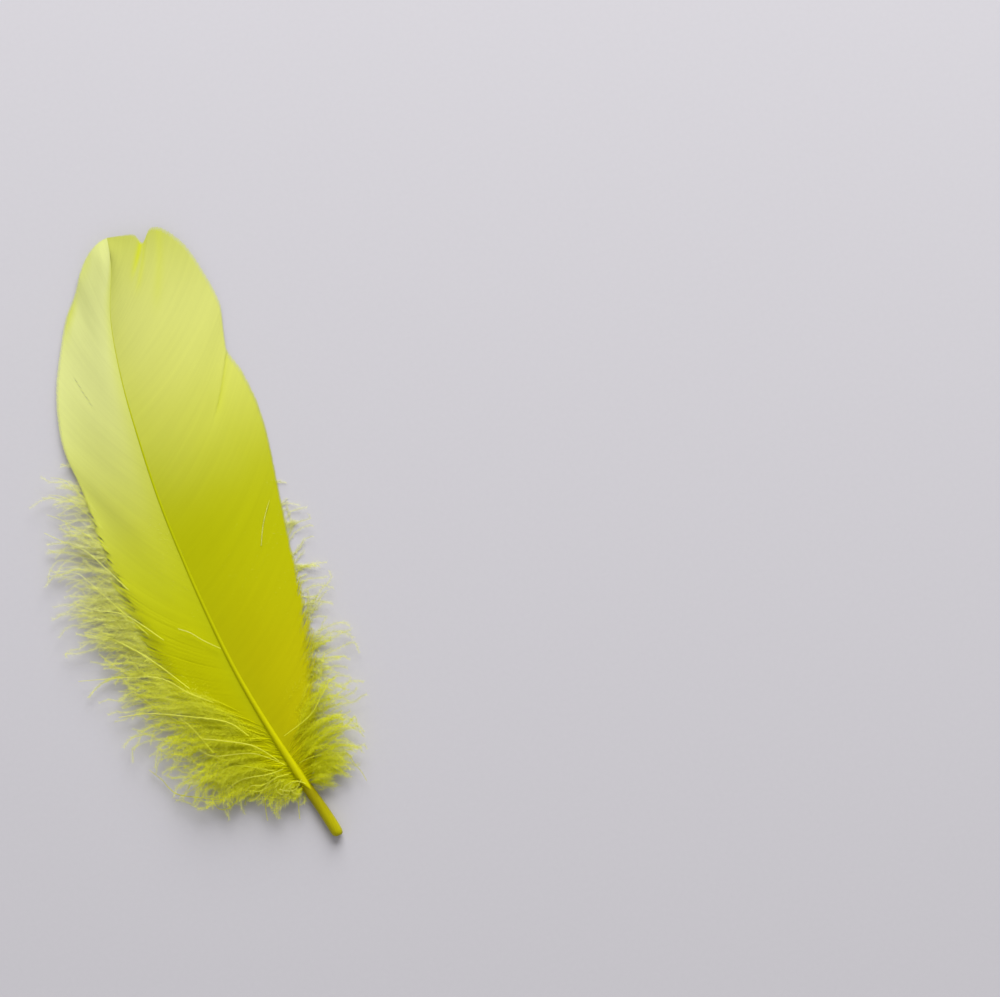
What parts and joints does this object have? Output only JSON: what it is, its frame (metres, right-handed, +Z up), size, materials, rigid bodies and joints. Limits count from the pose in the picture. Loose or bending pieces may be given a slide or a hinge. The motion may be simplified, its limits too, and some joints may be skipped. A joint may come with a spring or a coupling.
{
  "type": "goose feather",
  "caption": "Dyed goose feather lying flat, with a curved shaft, a narrow and a wide vane, a hollow quill end and soft down at its base.",
  "frame": {"origin": "centre of the feather's box, on the surface it lies on", "axes": "+Y from the quill's end to the tip, +Z up out of the domed side, +X towards the wide vane"},
  "size_m": [0.069, 0.1536, 0.0065],
  "materials": {
    "vane": "silky, pale lemon at the tip and yellow green at the base",
    "down": "soft, thin yellow green fibres that let light through",
    "quill": "satin horn, bright yellow above and darker gold at the hollow end"
  },
  "bodies": {
    "root": {"feather": "vane"}
  },
  "joints": []
}
